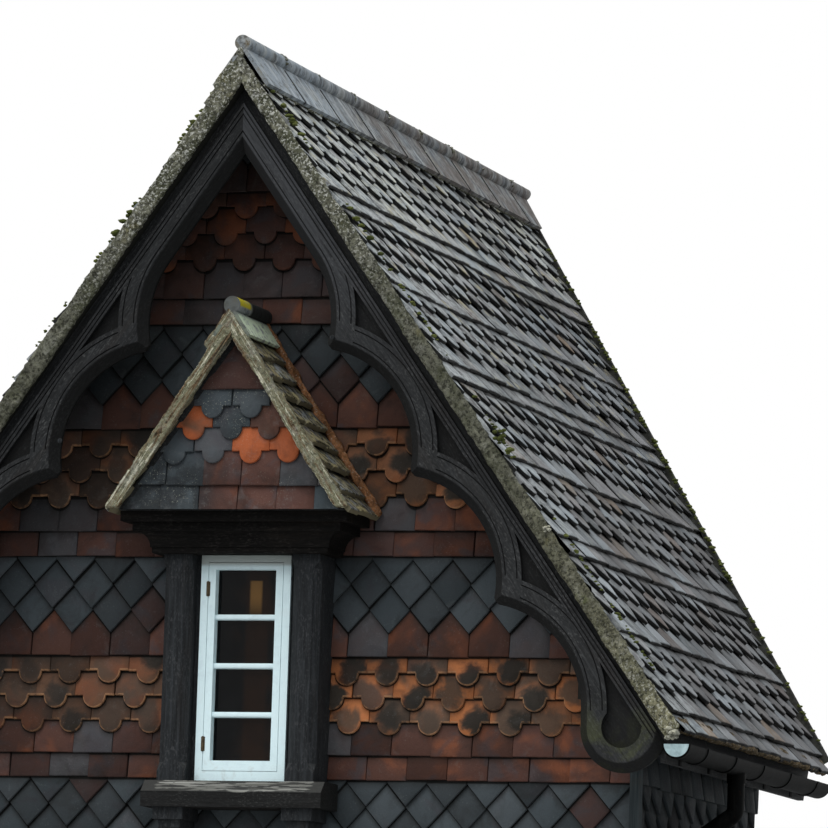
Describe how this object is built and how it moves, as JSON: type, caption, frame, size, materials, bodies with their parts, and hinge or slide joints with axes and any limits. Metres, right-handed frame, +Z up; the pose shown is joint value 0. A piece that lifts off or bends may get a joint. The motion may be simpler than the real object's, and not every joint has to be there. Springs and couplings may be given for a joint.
{
  "type": "gabled dormer window",
  "caption": "Steep tile-hung gabled dormer with cusped bargeboards, tiled roof cut to valleys behind, gutters and a small hooded casement window.",
  "frame": {"origin": "middle of the front wall's underside, at half the wall's thickness", "axes": "+X to the right seen from outside, +Y back into the building, +Z up; the gable faces -Y"},
  "size_m": [3.798, 3.9224, 3.2997],
  "materials": {
    "wall_masonry": "lime-plastered brick, matt",
    "wall_tile": "old hand-made clay, matt, stained",
    "roof_tile": "weathered clay with a faint sheen",
    "mortar": "rough lime mortar with lichen",
    "dark_timber": "old black paint worn to the grain",
    "roof_timber": "sawn softwood",
    "white_paint": "white gloss paint, weathered",
    "glass": "old clear glass",
    "iron": "painted grey, weathered",
    "corner_paint": "grey-blue paint"
  },
  "bodies": {
    "root": {"barge_fillet_left": "dark_timber", "barge_fillet_right": "dark_timber", "bargeboard_left": "dark_timber", "bargeboard_right": "dark_timber", "corner_board_left": "corner_paint", "corner_board_right": "corner_paint", "downpipe_left": "iron", "downpipe_right": "iron", "eaves_fascia_left": "dark_timber", "eaves_fascia_right": "dark_timber", "front_tile_hanging": "wall_tile", "front_wall": "wall_masonry", "gutter_left": "iron", "gutter_right": "iron", "gutter_straps_left": "iron", "gutter_straps_right": "iron", "hood_cornice": "dark_timber", "hood_gable": "wall_tile", "hood_mortar_left": "mortar", "hood_mortar_right": "mortar", "hood_ridge_tile": "roof_tile", "hood_roof_left": "roof_tile", "hood_roof_right": "roof_tile", "hood_verge_left": "mortar", "hood_verge_right": "mortar", "post_left": "dark_timber", "post_right": "dark_timber", "rafters_left": "roof_timber", "rafters_right": "roof_timber", "ridge_board": "roof_timber", "ridge_tiles": "roof_tile", "roof_boarding_left": "roof_timber", "roof_boarding_right": "roof_timber", "roof_tiling_left": "roof_tile", "roof_tiling_right": "roof_tile", "side_tile_hanging_left": "wall_tile", "side_tile_hanging_right": "wall_tile", "side_wall_left": "wall_masonry", "side_wall_right": "wall_masonry", "sill_bracket_left": "dark_timber", "sill_bracket_right": "dark_timber", "valley_board_left": "roof_timber", "valley_board_right": "roof_timber", "verge_mortar_left": "mortar", "verge_mortar_right": "mortar", "verge_soffit_left": "dark_timber", "verge_soffit_right": "dark_timber", "wall_plate_left": "roof_timber", "wall_plate_right": "roof_timber", "window_frame": "white_paint", "window_glass": "glass", "window_lining": "dark_timber", "window_sash": "white_paint", "window_sill": "dark_timber"}
  },
  "joints": []
}
